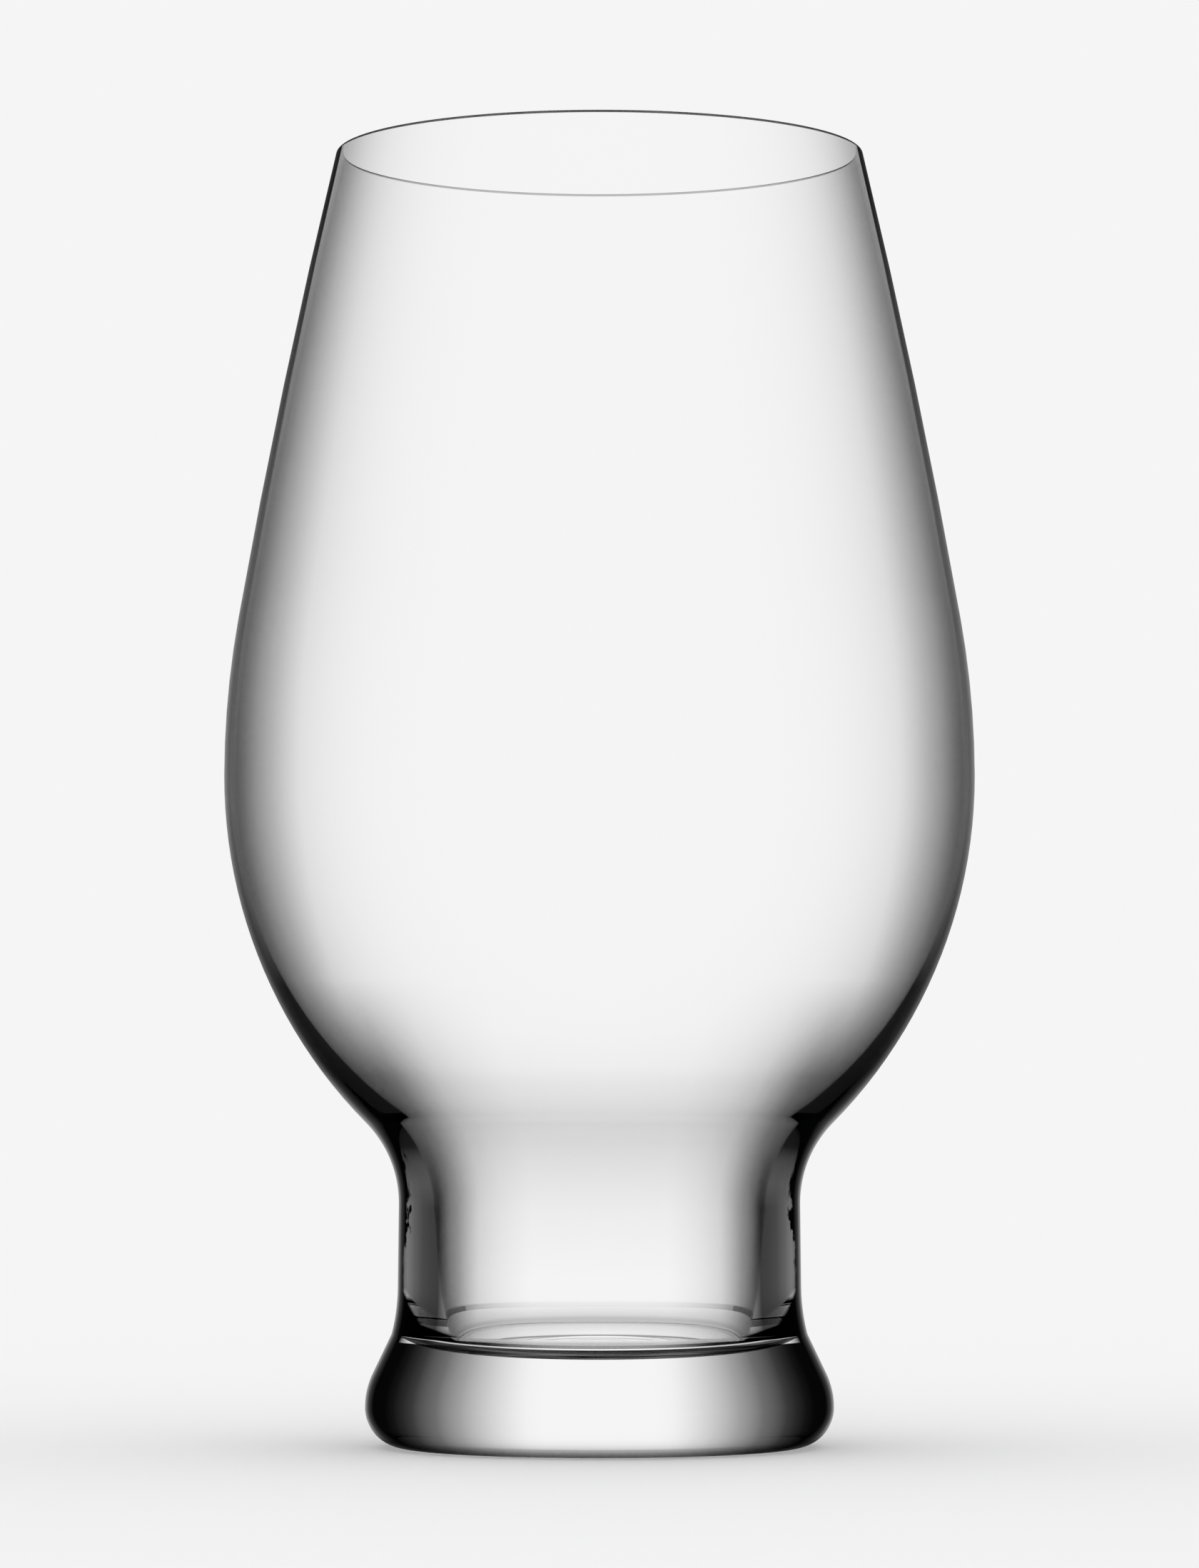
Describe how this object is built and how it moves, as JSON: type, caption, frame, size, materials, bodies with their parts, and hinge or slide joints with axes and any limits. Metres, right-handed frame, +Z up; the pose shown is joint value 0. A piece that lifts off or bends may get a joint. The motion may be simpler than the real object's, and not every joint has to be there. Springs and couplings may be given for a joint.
{
  "type": "ipa glass",
  "caption": "Clear stemless beer glass with a thin bowl that is widest at half height, a narrow waist with a hollow well, and a solid round foot.",
  "frame": {"origin": "centre of the base, on the plane that the seat rests on", "axes": "+Z up along the glass's axis; X and Y are alike, because the glass is round"},
  "size_m": [0.088, 0.088, 0.152],
  "materials": {
    "clear_glass": "clear, fire-polished"
  },
  "bodies": {
    "root": {"ipa_glass": "clear_glass"}
  },
  "joints": []
}
